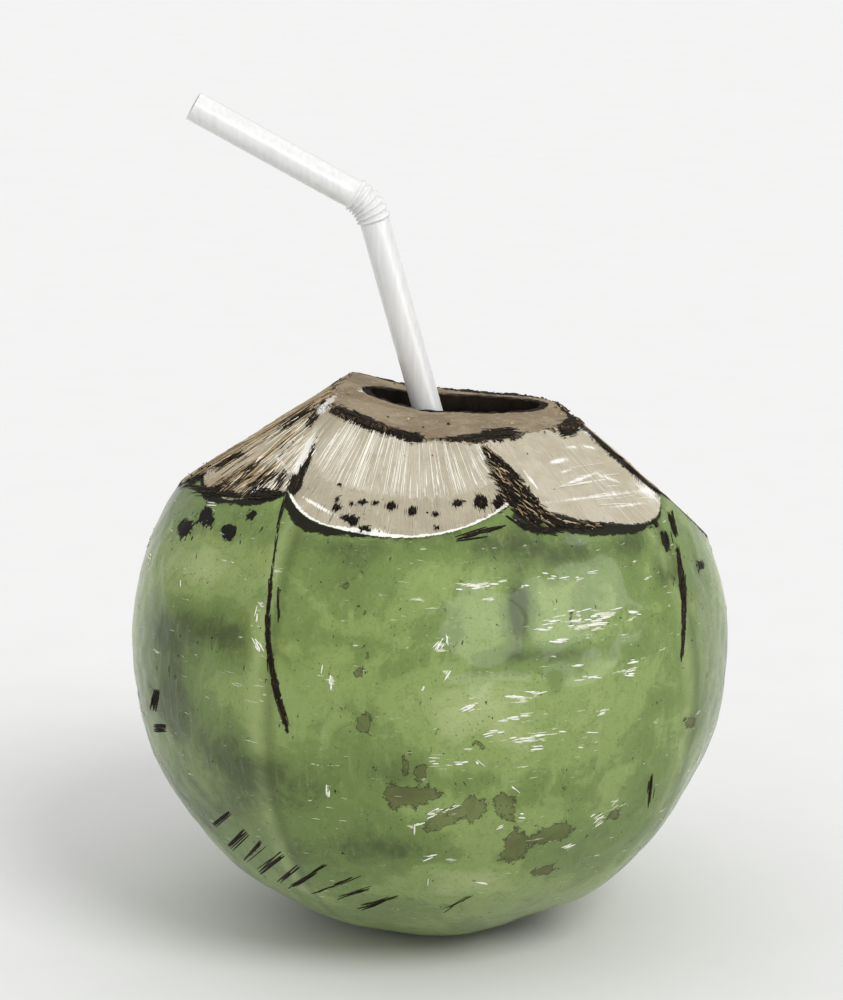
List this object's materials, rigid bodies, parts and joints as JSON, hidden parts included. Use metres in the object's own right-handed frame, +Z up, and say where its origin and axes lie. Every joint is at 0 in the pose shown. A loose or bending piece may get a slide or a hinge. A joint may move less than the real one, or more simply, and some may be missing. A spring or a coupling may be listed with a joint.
{
  "type": "coconut water in a green coconut",
  "caption": "Green drinking coconut with its top chopped into facets and opened, holding coconut water and a bendy straw.",
  "frame": {"origin": "middle of the flat spot that the coconut rests on", "axes": "+Z up; -Y is the side that the broad front chop and the viewer are on; -X is where the straw leans"},
  "size_m": [0.17, 0.1712, 0.2391],
  "materials": {
    "husk": "waxy mottled green skin over pale cream cut husk fibre, browned on the top cut",
    "shell": "damp young shell, brown",
    "meat": "wet soft white jelly",
    "water": "clear, very slightly cloudy drink",
    "straw": "thin plain white plastic, slightly translucent"
  },
  "bodies": {
    "root": {"husk": "husk", "shell": "shell", "meat": "meat", "water": "water", "straw": "straw"}
  },
  "joints": []
}
